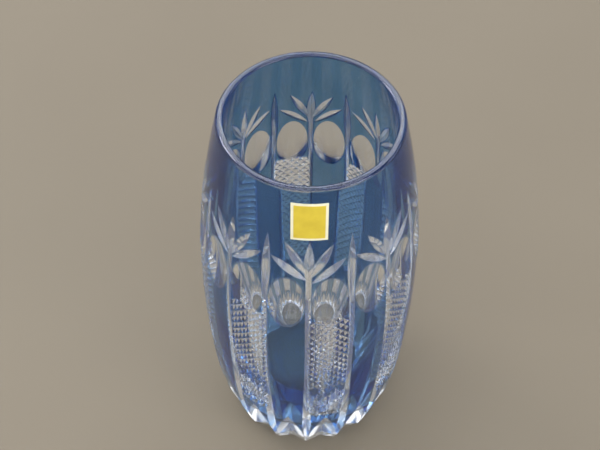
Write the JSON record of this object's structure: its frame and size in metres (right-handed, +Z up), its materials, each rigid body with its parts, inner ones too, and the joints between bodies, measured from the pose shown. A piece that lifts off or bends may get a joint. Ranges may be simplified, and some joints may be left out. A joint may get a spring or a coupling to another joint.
{
  "type": "cut crystal vase",
  "caption": "barrel-shaped cased crystal vase, blue layer cut through to clear in stems, fans, hollow olives and diamond panels, with a small paper label",
  "frame": {"origin": "centre of the underside of the foot, on the surface the vase stands on", "axes": "+Z up through the mouth, -Y towards the labelled front, +X to the right of the label seen from the front"},
  "size_m": [0.1148, 0.1148, 0.23],
  "materials": {
    "clear_crystal": "clear lead crystal, polished after cutting",
    "blue_casing": "thin blue glass casing, polished",
    "label_paper": "pale cream label paper",
    "label_ink": "flat yellow printed face, blank"
  },
  "bodies": {
    "root": {"crystal_body": "clear_crystal", "blue_collar": "blue_casing", "blue_panel_1": "blue_casing", "blue_panel_2": "blue_casing", "blue_panel_3": "blue_casing", "blue_panel_4": "blue_casing", "blue_panel_5": "blue_casing", "blue_panel_6": "blue_casing", "blue_panel_7": "blue_casing", "blue_panel_8": "blue_casing", "blue_diamonds_1": "blue_casing", "blue_diamonds_2": "blue_casing", "blue_diamonds_3": "blue_casing", "blue_diamonds_4": "blue_casing", "blue_diamonds_5": "blue_casing", "blue_diamonds_6": "blue_casing", "blue_diamonds_7": "blue_casing", "blue_diamonds_8": "blue_casing", "label_backing": "label_paper", "label_face": "label_ink"}
  },
  "joints": []
}
